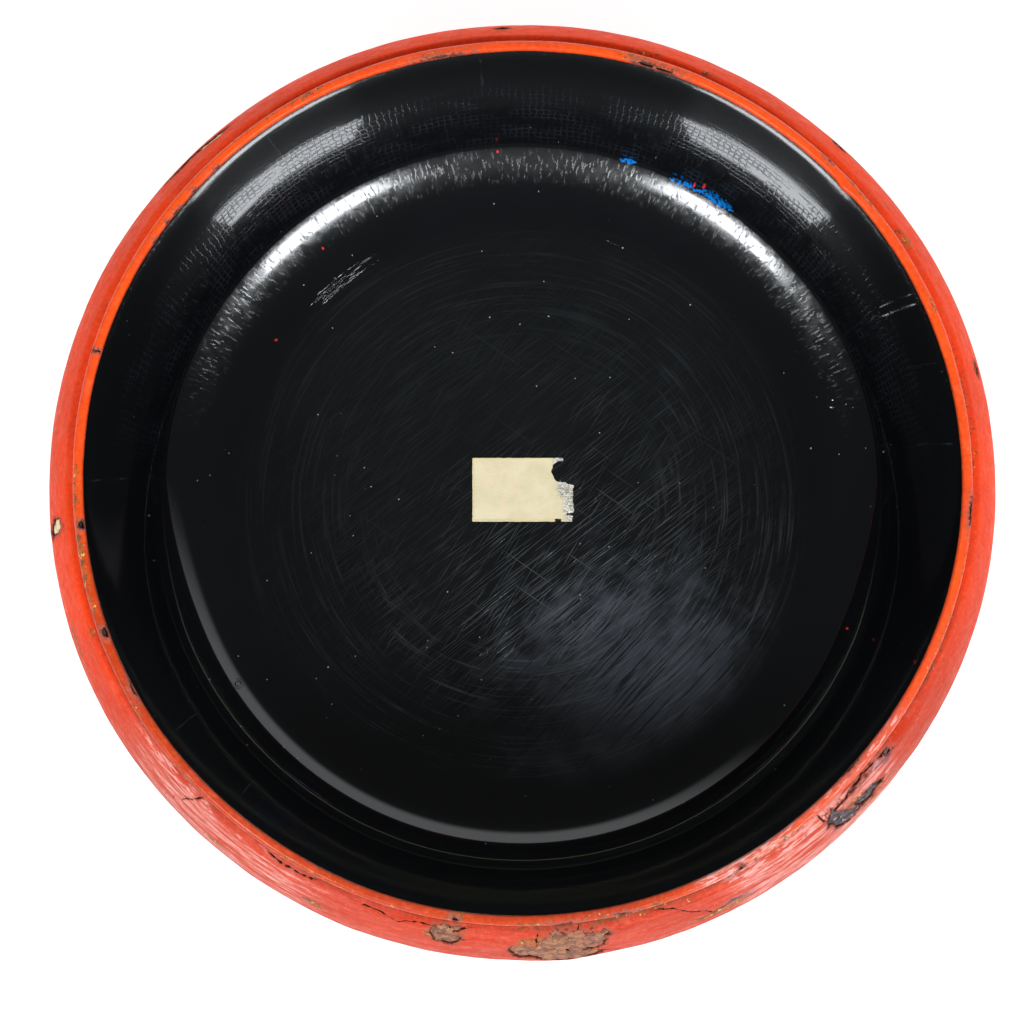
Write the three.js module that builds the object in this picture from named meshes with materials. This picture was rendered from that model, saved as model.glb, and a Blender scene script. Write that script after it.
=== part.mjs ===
// A lacquered bowl for go stones, without its lid: turned wooden hoops on a base board, lined with
// cloth, grounded with clay, and lacquered vermilion outside and black inside.
// Millimetres, +Z up. The origin is the middle of the circle that the foot stands on.
import * as THREE from "three";
import { mergeVertices } from "three/addons/utils/BufferGeometryUtils.js";

// Driving dimensions of the finished, lacquered bowl
const HEIGHT = 66; // foot to the top of the lip
const MOUTH_RADIUS = 65.5; // inner edge of the lip
const LIP_WIDTH = 1.9;
const LIP_RISE = 2.9; // how far the lip stands above the seat outside it
const LIP_SKIRT = 1.1; // how far the lip's vermilion turns down inside the mouth
const LIP_CHAMFER = 0.3; // eased edges of the lip
const SHOULDER_RADIUS = 68.4; // where the shoulder starts, at the seat's outer edge
const BELLY_RADIUS = 73.6; // widest point
const BELLY_DROP = 22; // from the seat down to the widest point
const BELLY_POWER = 2.2; // how full the shoulder and the flank are; 2 would be a parabola
const FLOOR_Z = 10;
const FLOOR_RADIUS = 47.5; // flat part of the floor
const COVE_TOP_RADIUS = 60.9; // where the rounded inside corner meets the wall
const COVE_REACH = 13.48; // half-axes of the corner's elliptical section, across and up
const COVE_RISE = 7.7;

// Foot
const FOOT_HEIGHT = 3.6;
const FLANK_FOOT_RADIUS = 54; // where the flank ends, above the foot ring
const FOOT_OUTER_RADIUS = 53;
const FOOT_INNER_RADIUS = 46;
const FOOT_DRAFT = 0.8; // each side of the ring leans in by this much towards the table

// Thicknesses of the layers, and the clearance left between one layer and the next
const LACQUER = 0.3;
const GROUND = 0.7;
const CLOTH = 0.4;
const GAP = 0.08;

// Depth of each layer's near face, measured from the finished surface into the bowl's wall
const CLOTH_DEPTH = LACQUER + GAP;
const GROUND_DEPTH = LACQUER + GAP;
const INNER_WOOD_DEPTH = CLOTH_DEPTH + CLOTH + GAP;
const OUTER_WOOD_DEPTH = GROUND_DEPTH + GROUND + GAP;

// Paper label, torn at its right end
const LABEL_THICKNESS = 0.2;
const LABEL_PLACE = [0.35, 2.4]; // from the middle of the floor
const LABEL_OUTLINE = [
  [-8.6, -5.4], [5.2, -5.4], [5.7, -4.7], [8.4, -5.3], [8.1, -2.6], [8.6, 0.4], [6.9, 1.1],
  [5.2, 0.9], [5.5, 3.4], [6.6, 4.9], [5.4, 5.4], [-8.5, 5.4],
];

// Finishes
const BODY_VERMILION = { color: 0xee5a40, roughness: 0.45 };
const LIP_VERMILION = { color: 0xf4552a, roughness: 0.35 };
const BLACK_LACQUER = { color: 0x141619, roughness: 0.15 };
const WOOD = { color: 0x7a5535, roughness: 0.7 };
const HEMP = { color: 0x9a8a6b, roughness: 0.95 };
const CLAY = { color: 0x8a6449, roughness: 0.9 };
const PAPER = { color: 0xf0e4c0, roughness: 0.9 };

// Fineness
const SEGMENTS = 40; // around every turned piece
const OUTSIDE_STEPS = 10; // from the seat to the foot
const COVE_STEPS = 5;
const WALL_STEPS = 3; // from the cove to the hoop joint
const MOUTH_STEPS = 2; // from the hoop joint to the lip

const SEAT_Z = HEIGHT - LIP_RISE;
const BELLY_Z = SEAT_Z - BELLY_DROP;
const LIP_OUTER_RADIUS = MOUTH_RADIUS + LIP_WIDTH;
const LIP_WOOD_RADIUS = LIP_OUTER_RADIUS - LACQUER - GAP;
const COVE_END_ANGLE = -Math.acos((COVE_TOP_RADIUS - FLOOR_RADIUS) / COVE_REACH);
const COVE_TOP_Z = FLOOR_Z + COVE_RISE * (1 + Math.sin(COVE_END_ANGLE));

const point = (radius, z) => new THREE.Vector2(radius, z);

// steps + 1 points of the curve r = radiusAt(z), from one height to another
function profile(radiusAt, from, to, steps) {
  return Array.from({ length: steps + 1 }, (_, i) => {
    const z = THREE.MathUtils.lerp(from, to, i / steps);
    return point(radiusAt(z), z);
  });
}

// The finished outside: a full shoulder over the belly, then a fall to the foot
function outsideRadius(z) {
  const reach = z > BELLY_Z ? BELLY_DROP : BELLY_Z - FOOT_HEIGHT;
  const end = z > BELLY_Z ? SHOULDER_RADIUS : FLANK_FOOT_RADIUS;
  return BELLY_RADIUS - (BELLY_RADIUS - end) * (Math.abs(z - BELLY_Z) / reach) ** BELLY_POWER;
}

// The finished inside wall: upright at the mouth, leaning in towards the cove
function wallRadius(z) {
  const depth = (HEIGHT - z) / (HEIGHT - COVE_TOP_Z);
  return MOUTH_RADIUS - (MOUTH_RADIUS - COVE_TOP_RADIUS) * depth ** 2;
}

// The rounded inside corner: it leaves the floor level, rises slowly, then turns up into the wall
function cove() {
  const arc = new THREE.Path();
  const middle = [FLOOR_RADIUS, FLOOR_Z + COVE_RISE];
  arc.absellipse(...middle, COVE_REACH, COVE_RISE, -Math.PI / 2, COVE_END_ANGLE);
  return arc.getSpacedPoints(COVE_STEPS);
}

// An open curve moved sideways, to its right where distance is positive
function offset(curve, distance) {
  const rights = curve.slice(1).map((end, i) => {
    const along = end.clone().sub(curve[i]).normalize();
    return point(along.y, -along.x);
  });
  return curve.map((at, i) => {
    const before = rights[Math.max(i - 1, 0)];
    const after = rights[Math.min(i, rights.length - 1)];
    const right = before.clone().add(after).normalize();
    return at.clone().addScaledVector(right, distance / right.dot(after));
  });
}

// An open curve with its ends drawn in by a length
function shortened(curve, atStart, atEnd) {
  const drawn = (end, next, by) => end.clone().lerp(next, by / end.distanceTo(next));
  const first = drawn(curve[0], curve[1], atStart);
  const last = drawn(curve.at(-1), curve.at(-2), atEnd);
  return [first, ...curve.slice(1, -1), last];
}

// The section of a layer that lies between two depths under a curve
const layer = (curve, near, thickness) => [
  ...offset(curve, near),
  ...offset(curve, near + thickness).reverse(),
];

const bowl = new THREE.Group();

function addPiece(name, geometry, finish) {
  geometry.deleteAttribute("normal");
  geometry.deleteAttribute("uv");
  const merged = mergeVertices(geometry, 1e-4);
  merged.computeVertexNormals();
  const look = new THREE.MeshStandardMaterial({ ...finish, metalness: 0 });
  const mesh = new THREE.Mesh(merged, look);
  mesh.name = name;
  bowl.add(mesh);
  return mesh;
}

// A solid of revolution about Z. Its section either starts and ends on the axis or is closed here.
function addTurned(name, section, finish) {
  const outline = THREE.ShapeUtils.isClockWise(section) ? section.slice().reverse() : section.slice();
  if (outline[0].x > 0) outline.push(outline[0].clone());
  const solid = new THREE.LatheGeometry(outline, SEGMENTS).rotateX(Math.PI / 2);
  return addPiece(name, solid, finish);
}

// The outside from the narrow seat round the lip down to the foot, and the wood's face under it.
// The hoop joint is at its fourth point.
const outside = [
  point(LIP_OUTER_RADIUS + GAP, SEAT_Z),
  ...profile(outsideRadius, SEAT_Z, FOOT_HEIGHT, OUTSIDE_STEPS),
];
const woodOutside = offset(outside, OUTER_WOOD_DEPTH);
const JOINT = 3;
const JOINT_Z = woodOutside[JOINT].y;

// The inside from the middle of the floor up to the lip's skirt
const inside = [
  point(0, FLOOR_Z),
  ...cove(),
  ...profile(wallRadius, COVE_TOP_Z, JOINT_Z, WALL_STEPS).slice(1),
  ...profile(wallRadius, JOINT_Z, HEIGHT - LIP_SKIRT, MOUTH_STEPS).slice(1),
];
const COVE_START = 1;
const COVE_END = COVE_START + COVE_STEPS;
const INSIDE_JOINT = COVE_END + WALL_STEPS;

// Wooden core
addTurned("base_board", [
  point(0, FOOT_HEIGHT),
  point(FLOOR_RADIUS - GAP, FOOT_HEIGHT),
  point(FLOOR_RADIUS - GAP, FLOOR_Z - INNER_WOOD_DEPTH),
  point(0, FLOOR_Z - INNER_WOOD_DEPTH),
], WOOD);

const woodInside = offset(inside.slice(COVE_START, INSIDE_JOINT + 1), INNER_WOOD_DEPTH);
addTurned("wall_hoop", [
  point(woodOutside.at(-1).x, FOOT_HEIGHT),
  ...woodOutside.slice(JOINT).reverse(),
  point(woodInside.at(-1).x, JOINT_Z),
  ...woodInside.slice(0, -1).reverse(),
  point(woodInside[0].x, FOOT_HEIGHT),
], WOOD);

const shoulderWood = shortened(woodOutside.slice(0, JOINT + 1), 0, GAP);
addTurned("shoulder_hoop", [
  ...shoulderWood,
  point(LIP_WOOD_RADIUS + GAP, shoulderWood.at(-1).y),
  point(LIP_WOOD_RADIUS + GAP, shoulderWood[0].y),
], WOOD);

const lipInside = shortened(offset(inside, CLOTH_DEPTH).slice(INSIDE_JOINT), GAP, 0);
const LIP_WOOD_TOP = HEIGHT - LACQUER - GAP;
addTurned("lip_hoop", [
  ...lipInside,
  point(lipInside.at(-1).x, LIP_WOOD_TOP),
  point(LIP_WOOD_RADIUS, LIP_WOOD_TOP),
  point(LIP_WOOD_RADIUS, lipInside[0].y),
], WOOD);

addTurned("foot_ring", [
  point(FOOT_INNER_RADIUS + FOOT_DRAFT, 0),
  point(FOOT_OUTER_RADIUS - FOOT_DRAFT, 0),
  point(FOOT_OUTER_RADIUS, FOOT_HEIGHT - GAP),
  point(FOOT_INNER_RADIUS, FOOT_HEIGHT - GAP),
], WOOD);

// Cloth lining, a round for the floor and cove and a band for the wall
const floorCloth = shortened(inside.slice(0, COVE_END + 1), 0, GAP);
addTurned("floor_cloth", layer(floorCloth, CLOTH_DEPTH, CLOTH), HEMP);

const wallCloth = shortened(inside.slice(COVE_END, INSIDE_JOINT + 1), GAP, GAP);
addTurned("wall_cloth", layer(wallCloth, CLOTH_DEPTH, CLOTH), HEMP);

// Clay ground under the outside lacquer
addTurned("outer_ground", layer(outside, GROUND_DEPTH, GROUND), CLAY);

// Lacquer coats
addTurned("body_lacquer", layer(outside, 0, LACQUER), BODY_VERMILION);
addTurned("inner_lacquer", layer(shortened(inside, 0, GAP), 0, LACQUER), BLACK_LACQUER);
addTurned("underside_lacquer", [
  point(0, FOOT_HEIGHT - GAP - LACQUER),
  point(FOOT_INNER_RADIUS - GAP, FOOT_HEIGHT - GAP - LACQUER),
  point(FOOT_INNER_RADIUS - GAP, FOOT_HEIGHT - GAP),
  point(0, FOOT_HEIGHT - GAP),
], BLACK_LACQUER);

// The lip's coat is a cap with eased edges, which turns a little way down inside the mouth
addTurned("lip_lacquer", [
  point(MOUTH_RADIUS, HEIGHT - LIP_SKIRT),
  point(MOUTH_RADIUS, HEIGHT - LIP_CHAMFER),
  point(MOUTH_RADIUS + LIP_CHAMFER, HEIGHT),
  point(LIP_OUTER_RADIUS - LIP_CHAMFER, HEIGHT),
  point(LIP_OUTER_RADIUS, HEIGHT - LIP_CHAMFER),
  point(LIP_OUTER_RADIUS, SEAT_Z),
  point(LIP_OUTER_RADIUS - LACQUER, SEAT_Z),
  point(LIP_OUTER_RADIUS - LACQUER, HEIGHT - LACQUER),
  point(MOUTH_RADIUS + LACQUER, HEIGHT - LACQUER),
  point(MOUTH_RADIUS + LACQUER, HEIGHT - LIP_SKIRT),
], LIP_VERMILION);

// Paper label on the floor
const labelShape = new THREE.Shape(LABEL_OUTLINE.map(([x, y]) => new THREE.Vector2(x, y)));
const labelSolid = new THREE.ExtrudeGeometry(labelShape, { depth: LABEL_THICKNESS, bevelEnabled: false });
const label = addPiece("paper_label", labelSolid, PAPER);
label.position.set(...LABEL_PLACE, FLOOR_Z + GAP);

export default bowl;
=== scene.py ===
import math

import bpy
import numpy as np
from mathutils import Matrix, Vector


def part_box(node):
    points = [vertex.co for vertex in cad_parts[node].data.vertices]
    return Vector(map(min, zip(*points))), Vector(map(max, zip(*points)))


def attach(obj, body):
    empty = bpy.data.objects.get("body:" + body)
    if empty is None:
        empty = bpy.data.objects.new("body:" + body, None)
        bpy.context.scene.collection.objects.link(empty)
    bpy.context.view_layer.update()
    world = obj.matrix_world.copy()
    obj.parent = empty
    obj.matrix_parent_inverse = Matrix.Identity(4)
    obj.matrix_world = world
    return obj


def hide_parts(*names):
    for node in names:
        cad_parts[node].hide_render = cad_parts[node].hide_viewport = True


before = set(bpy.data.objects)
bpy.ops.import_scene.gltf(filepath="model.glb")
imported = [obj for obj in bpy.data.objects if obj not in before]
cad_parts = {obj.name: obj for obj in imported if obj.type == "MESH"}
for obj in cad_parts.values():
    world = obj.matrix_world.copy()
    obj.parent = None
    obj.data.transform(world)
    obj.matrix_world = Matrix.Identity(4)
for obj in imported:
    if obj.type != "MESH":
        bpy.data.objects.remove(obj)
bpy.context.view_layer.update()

MM = 0.001  # all shapes below are in millimetres until they become meshes

# ---------------------------------------------------------------- sizes, from the CAD frame


def low(node):
    return np.array(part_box(node)[0]) / MM


def high(node):
    return np.array(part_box(node)[1]) / MM


HEIGHT = high("lip_lacquer")[2]
LIP_OUTER = high("lip_lacquer")[0]
SEAT_Z = high("body_lacquer")[2]
BELLY_RADIUS = high("body_lacquer")[0]
FOOT_HEIGHT = low("body_lacquer")[2]
FOOT_OUTER = high("foot_ring")[0]
LACQUER = high("underside_lacquer")[2] - low("underside_lacquer")[2]
GAP = FOOT_HEIGHT - high("foot_ring")[2]
FLOOR_Z = low("inner_lacquer")[2] + LACQUER
FOOT_INNER = high("underside_lacquer")[0] + GAP
FLOOR_RADIUS = high("base_board")[0] + GAP
LIP_SKIRT = HEIGHT - high("inner_lacquer")[2] - GAP
BOARD_TOP = high("base_board")[2]
JOINT_Z = high("wall_hoop")[2]

LIP_WIDTH = 1.9
MOUTH = LIP_OUTER - LIP_WIDTH
LIP_EDGE = LIP_OUTER - 0.35  # the lip's outer edge has been rubbed back this far
SHOULDER_RADIUS = LIP_OUTER + 1.0
FLANK_FOOT = FOOT_OUTER + 1.0
BELLY_DROP = 22.0
BELLY_Z = SEAT_Z - BELLY_DROP
BELLY_POWER = 2.2
COVE_TOP_RADIUS = 60.9
COVE_REACH, COVE_RISE = 13.48, 7.7  # half-axes of the inside corner's elliptical section
COVE_END = math.asin((COVE_TOP_RADIUS - FLOOR_RADIUS) / COVE_REACH)
COVE_TOP_Z = FLOOR_Z + COVE_RISE * (1 - math.cos(COVE_END))
GROUND = 0.7
CLOTH = 0.4
FOOT_DRAFT = 0.8

# ---------------------------------------------------------------- noise and small maths

rng = np.random.default_rng(11)
LATTICE = rng.uniform(-1, 1, 4096)
SHUFFLE = rng.permutation(4096)


def noise(points, size, seed=0, octaves=1):
    """Smooth value noise, about -1 to 1, with features `size` mm across."""
    total, weight, amount = 0.0, 0.0, 1.0
    for octave in range(octaves):
        p = np.asarray(points) / size * 2**octave + 17.3 * (seed + octave)
        cell = np.floor(p).astype(int)
        f = p - cell
        f = f * f * (3 - 2 * f)
        value = 0.0
        for corner in range(8):
            step = np.array([corner & 1, corner >> 1 & 1, corner >> 2])
            at = cell + step
            key = SHUFFLE[(at[..., 0] + 31 * seed) % 4096]
            key = SHUFFLE[(key + at[..., 1]) % 4096]
            key = SHUFFLE[(key + at[..., 2]) % 4096]
            share = np.where(step, f, 1 - f).prod(-1)
            value = value + LATTICE[key] * share
        total = total + value * amount
        weight += amount
        amount *= 0.5
    return total / weight


def smooth(low_end, high_end, x):
    t = np.clip((x - low_end) / (high_end - low_end), 0, 1)
    return t * t * (3 - 2 * t)


def turn_between(a, b):
    """Signed angle from b to a in degrees, between -180 and 180."""
    return (np.asarray(a) - b + 180) % 360 - 180


# ---------------------------------------------------------------- sections of the bowl


def outside_radius(z):
    up = BELLY_RADIUS - (BELLY_RADIUS - SHOULDER_RADIUS) * (np.maximum(z - BELLY_Z, 0) / BELLY_DROP) ** BELLY_POWER
    fall = np.maximum(BELLY_Z - z, 0) / (BELLY_Z - FOOT_HEIGHT)
    down = (BELLY_RADIUS - FLANK_FOOT) * fall**BELLY_POWER
    return up - down


def spaced(curve, spacing):
    """A curve's points again, at a spacing in mm that may depend on height."""
    curve = np.asarray(curve, float)
    length = np.r_[0, np.cumsum(np.hypot(*np.diff(curve, axis=0).T))]
    fine = np.linspace(0, length[-1], 4000)
    r = np.interp(fine, length, curve[:, 0])
    z = np.interp(fine, length, curve[:, 1])
    count = np.r_[0, np.cumsum(np.diff(fine) / spacing(r, z)[1:])]
    at = np.linspace(0, count[-1], int(round(count[-1])) + 1)
    place = np.interp(at, count, fine)
    return np.c_[np.interp(place, fine, r), np.interp(place, fine, z)]


def eased(curve, passes):
    """Rounds the corners of an evenly spaced curve, leaving its ends."""
    curve = curve.copy()
    for _ in range(passes):
        curve[1:-1] += 0.5 * ((curve[:-2] + curve[2:]) / 2 - curve[1:-1])
    return curve


def offset(curve, distance):
    """The curve moved to its right."""
    if isinstance(curve, tuple):
        return tuple(offset(c, distance) for c in curve)
    along = np.gradient(curve, axis=0)
    along /= np.linalg.norm(along, axis=1)[:, None]
    return curve + distance * np.c_[along[:, 1], -along[:, 0]]


def even(step):
    return lambda r, z: np.full_like(z, step)


def outside_curve(spacing):
    z = np.linspace(SEAT_Z, FOOT_HEIGHT, 400)
    seat = [[LIP_EDGE + GAP, SEAT_Z - 0.03]]
    curve = np.r_[seat, np.c_[outside_radius(z), z]]
    curve = eased(spaced(curve, even(0.15)), 8)
    return spaced(curve, spacing)


def cove_and_wall(top, reach, rise, cove_top, fillet, belly):
    """The inside section: flat floor, elliptical corner, then a wall that leans out evenly and turns
    upright within `fillet` of the mouth (a share of its height), hollowed out by `belly`."""
    end = math.asin((cove_top - FLOOR_RADIUS) / reach)
    turn = np.linspace(0, end, 80)
    cove = np.c_[FLOOR_RADIUS + reach * np.sin(turn), FLOOR_Z + rise * (1 - np.cos(turn))]
    z = HEIGHT - (HEIGHT - cove[-1, 1]) * np.linspace(1, 0, 240) ** 1.5
    z = np.r_[z[(z > cove[-1, 1]) & (z < top)], top]
    depth = (HEIGHT - z) / (HEIGHT - cove[-1, 1])
    lean = (np.hypot(depth, fillet) - fillet) / (math.hypot(1, fillet) - fillet)
    wall = MOUTH - (MOUTH - cove_top) * lean + belly * 4 * depth * (1 - depth)
    return np.r_[[[0, FLOOR_Z]], cove, np.c_[wall, z]]


def inside_curve(spacing, top=None):
    """(near, far) sections: the corner was scraped a little differently on the two sides."""
    top = HEIGHT - LIP_SKIRT - GAP if top is None else top
    near = spaced(cove_and_wall(top, 15.2, 14.35, COVE_TOP_RADIUS, 3.0, 0.0), spacing)
    far = cove_and_wall(top, 19.05, 13.8, COVE_TOP_RADIUS - 0.46, 0.093, 0.815)
    length = np.r_[0, np.cumsum(np.hypot(*np.diff(far, axis=0).T))]
    share = np.r_[0, np.cumsum(np.hypot(*np.diff(near, axis=0).T))]
    at = share / share[-1] * length[-1]
    return near, np.c_[np.interp(at, length, far[:, 0]), np.interp(at, length, far[:, 1])]


# ---------------------------------------------------------------- the turned grids


def around(fine_step, coarse_step, zones):
    """Angles in degrees round the bowl, closer together inside the zones (from, to)."""
    dense = np.arange(0, 360, 0.02)
    step = np.full(dense.shape, coarse_step)
    for start, end in zones:
        middle, half = (start + end) / 2, (end - start) / 2
        edge = np.abs(turn_between(dense, middle)) - half
        step = np.minimum(step, fine_step + (coarse_step - fine_step) * smooth(0, 8, edge))
    count = np.cumsum(0.02 / step)
    total = int(round(count[-1]))
    return np.interp(np.arange(total) * count[-1] / total, count, dense)


def revolve(curve, degrees):
    """A grid of points: rows along the section, columns round the bowl. A pair of sections is blended."""
    turn = np.radians(degrees)
    near, far = curve if isinstance(curve, tuple) else (curve, curve)
    share = smooth(-0.4, 0.45, np.sin(turn))[None, :]
    r = near[:, :1] * (1 - share) + far[:, :1] * share
    z = near[:, 1:] * (1 - share) + far[:, 1:] * share
    return np.stack([r * np.cos(turn), r * np.sin(turn), z], -1)


def outward(points):
    """Unit normals of a turned grid, to the right of its section."""
    down = np.gradient(points, axis=0)
    side = np.roll(points, -1, 1) - np.roll(points, 1, 1)
    n = np.cross(down, side)
    return n / np.maximum(np.linalg.norm(n, axis=-1, keepdims=True), 1e-12)


def handmade(p):
    """Old turned wood is a little out of round, more so towards its mouth."""
    share = smooth(0, HEIGHT, p[..., 2])
    turn = np.arctan2(p[..., 1], p[..., 0])
    wobble = 0.11 * np.sin(3 * turn + 0.7) + 0.09 * np.sin(5 * turn + 2.1) + 0.06 * np.sin(8 * turn + 4.0)
    radius = np.hypot(p[..., 0], p[..., 1])
    grow = 1 + share * wobble / np.maximum(radius, 20)
    lift = 0.12 * np.sin(2 * turn + 1.0) * share
    x = p[..., 0] * grow * (1 + 0.001 * share)
    y = p[..., 1] * grow * (1 - 0.012 * share)
    return np.stack([x, y, p[..., 2] + lift], -1)


def clip(points, faces, field, data):
    """Cuts the faces where field goes above 0, along the field's zero line."""
    keep = field < 0
    new_points, new_data, made, kept_faces = [], [], {}, []
    for face in faces:
        inside = [keep[v] for v in face]
        if all(inside):
            kept_faces.append(face)
            continue
        if not any(inside):
            continue
        outline = []
        for a, b in zip(face, face[1:] + face[:1]):
            if keep[a]:
                outline.append(a)
            if keep[a] != keep[b]:
                key = (min(a, b), max(a, b))
                if key not in made:
                    t = np.clip(field[key[0]] / (field[key[0]] - field[key[1]]), 0.06, 0.94)
                    made[key] = len(points) + len(new_points)
                    new_points.append(points[key[0]] * (1 - t) + points[key[1]] * t)
                    new_data.append(data[key[0]] * (1 - t) + data[key[1]] * t)
                outline.append(made[key])
        if len(outline) > 2:
            kept_faces.append(outline)
    if new_points:
        points = np.r_[points, new_points]
        data = np.r_[data, new_data]
    return points, kept_faces, data


def grid_faces(rows, columns, wrap_rows, pole_start, pole_end):
    """Quads of a grid that closes round, with its first or last row drawn to one point."""
    index = np.arange(rows * columns).reshape(rows, columns)
    faces = []
    for i in range(rows if wrap_rows else rows - 1):
        here, there = index[i], index[(i + 1) % rows]
        for j in range(columns):
            k = (j + 1) % columns
            if pole_start and i == 0:
                faces.append([int(here[0]), int(there[j]), int(there[k])])
            elif pole_end and i == rows - 2:
                faces.append([int(here[j]), int(there[0]), int(here[k])])
            else:
                faces.append([int(here[j]), int(there[j]), int(there[k]), int(here[k])])
    return faces


def make_piece(name, points, faces, fields, look, nodes, thickness=0.0):
    """One mesh object from points in mm, with point attributes, riding on the root body."""
    used = np.unique(np.concatenate([np.asarray(f) for f in faces]))
    renumber = np.full(len(points), -1)
    renumber[used] = np.arange(len(used))
    mesh = bpy.data.meshes.new(name)
    mesh.from_pydata((points[used] * MM).tolist(), [], [renumber[f].tolist() for f in faces])
    for field_name, values in fields.items():
        attribute = mesh.attributes.new(field_name, "FLOAT", "POINT")
        attribute.data.foreach_set("value", values[used].astype(np.float32))
    mesh.validate()
    mesh.shade_smooth()
    mesh.materials.append(look)
    piece = bpy.data.objects.new(name, mesh)
    bpy.context.scene.collection.objects.link(piece)
    if thickness:
        solidify = piece.modifiers.new("thickness", "SOLIDIFY")
        solidify.thickness = thickness * MM
        solidify.offset = -1
        solidify.use_even_offset = False
    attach(piece, "root")
    if nodes:
        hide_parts(*nodes)
    return piece


def turned_skin(name, grid, look, nodes, thickness, fields=None, lost=None, pole=False):
    """A skin of a given thickness over a turned grid, with holes where `lost` is above 0."""
    rows, columns = grid.shape[:2]
    names = list(fields or {})
    flat = [np.asarray(fields[n], float).reshape(-1) for n in names] or [np.zeros(rows * columns)]
    data = np.stack(flat, -1)
    points = grid.reshape(-1, 3)
    faces = grid_faces(rows, columns, False, pole, False)
    if lost is not None:
        points, faces, data = clip(points, faces, lost.reshape(-1), data)
    fields = {n: data[:, i] for i, n in enumerate(names)}
    return make_piece(name, points, faces, fields, look, nodes, thickness)


def turned_solid(name, section, degrees, look, nodes, relief=None):
    """A closed ring, or a disc when its section starts and ends on the axis."""
    grid = revolve(section, degrees)
    on_axis = abs(grid[0, 0, :2]).max() < 1e-6
    if relief is not None:
        grid = relief(grid)
    grid = handmade(grid)
    faces = grid_faces(len(grid), len(degrees), not on_axis, on_axis, on_axis)
    piece = make_piece(name, grid.reshape(-1, 3), faces, {}, look, nodes)
    turn_out(piece)
    return piece


def turn_out(piece):
    """Makes a closed mesh's faces point outwards."""
    import bmesh

    bm = bmesh.new()
    bm.from_mesh(piece.data)
    bmesh.ops.recalc_face_normals(bm, faces=bm.faces)
    bm.to_mesh(piece.data)
    bm.free()


# ---------------------------------------------------------------- materials


class Look:
    """A node material, with short calls for the nodes that all of them use."""

    def __init__(self, name):
        self.material = bpy.data.materials.new(name)
        self.material.use_nodes = True
        self.tree = self.material.node_tree
        self.shader = self.tree.nodes["Principled BSDF"]
        coordinates = self.tree.nodes.new("ShaderNodeTexCoord")
        self.place = self.scaled(coordinates.outputs["Object"], 1 / MM)

    def put(self, socket, value):
        if isinstance(value, bpy.types.NodeSocket):
            self.tree.links.new(value, socket)
        elif value is not None:
            socket.default_value = value

    def scaled(self, vector, factor):
        node = self.tree.nodes.new("ShaderNodeVectorMath")
        node.operation = "MULTIPLY"
        self.put(node.inputs[0], vector)
        factor = (factor,) * 3 if isinstance(factor, (int, float)) else factor
        node.inputs[1].default_value = factor
        return node.outputs[0]

    def sums(self, operation, a, b=None, c=None):
        node = self.tree.nodes.new("ShaderNodeMath")
        node.operation = operation
        for socket, value in zip(node.inputs, (a, b, c)):
            self.put(socket, value)
        return node.outputs[0]

    def noise(self, size, detail=3.0, vector=None, stretch=None, roughness=0.55, distortion=0.0):
        """Noise about 0.5, with features `size` mm across."""
        vector = self.place if vector is None else vector
        if stretch is not None:
            vector = self.scaled(vector, stretch)
        node = self.tree.nodes.new("ShaderNodeTexNoise")
        self.put(node.inputs["Vector"], vector)
        node.inputs["Scale"].default_value = 1 / size
        node.inputs["Detail"].default_value = detail
        node.inputs["Roughness"].default_value = roughness
        node.inputs["Distortion"].default_value = distortion
        return node.outputs["Fac"]

    def cells(self, size, feature="F1", output="Distance", vector=None, randomness=1.0):
        node = self.tree.nodes.new("ShaderNodeTexVoronoi")
        node.feature = feature
        self.put(node.inputs["Vector"], self.place if vector is None else vector)
        node.inputs["Scale"].default_value = 1 / size
        node.inputs["Randomness"].default_value = randomness
        return node.outputs[output]

    def ramp(self, value, start, end, to_low=0.0, to_high=1.0):
        """value mapped from start..end to to_low..to_high, smoothly and clamped."""
        node = self.tree.nodes.new("ShaderNodeMapRange")
        node.interpolation_type = "SMOOTHSTEP"
        self.put(node.inputs["Value"], value)
        for name, number in (("From Min", start), ("From Max", end), ("To Min", to_low), ("To Max", to_high)):
            self.put(node.inputs[name], number)
        return node.outputs["Result"]

    def mix(self, share, a, b, blend="MIX"):
        node = self.tree.nodes.new("ShaderNodeMix")
        node.data_type = "RGBA"
        node.blend_type = blend
        self.put(node.inputs["Factor"], share)
        self.put(node.inputs["A"], a)
        self.put(node.inputs["B"], b)
        return node.outputs["Result"]

    def field(self, name):
        node = self.tree.nodes.new("ShaderNodeAttribute")
        node.attribute_name = name
        return node.outputs["Fac"]

    def split(self, vector=None):
        node = self.tree.nodes.new("ShaderNodeSeparateXYZ")
        self.put(node.inputs[0], self.place if vector is None else vector)
        return node.outputs

    def join(self, x, y, z):
        node = self.tree.nodes.new("ShaderNodeCombineXYZ")
        for socket, value in zip(node.inputs, (x, y, z)):
            self.put(socket, value)
        return node.outputs[0]

    def polar(self):
        """(radius in mm, turn in radians, height in mm) of the shaded point."""
        x, y, z = self.split()
        radius = self.sums("SQRT", self.sums("ADD", self.sums("MULTIPLY", x, x), self.sums("MULTIPLY", y, y)))
        return radius, self.sums("ARCTAN2", y, x), z

    def bump(self, height, depth, under=None):
        """A bump of `depth` mm for height 0..1."""
        node = self.tree.nodes.new("ShaderNodeBump")
        node.inputs["Distance"].default_value = depth * MM
        self.put(node.inputs["Height"], height)
        self.put(node.inputs["Normal"], under)
        return node.outputs[0]

    def finish(self, color, roughness, normal=None, **plain):
        self.put(self.shader.inputs["Base Color"], color)
        self.put(self.shader.inputs["Roughness"], roughness)
        if normal is not None:
            self.put(self.shader.inputs["Normal"], normal)
        for name, value in plain.items():
            self.shader.inputs[name.replace("_", " ")].default_value = value
        return self.material


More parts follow.
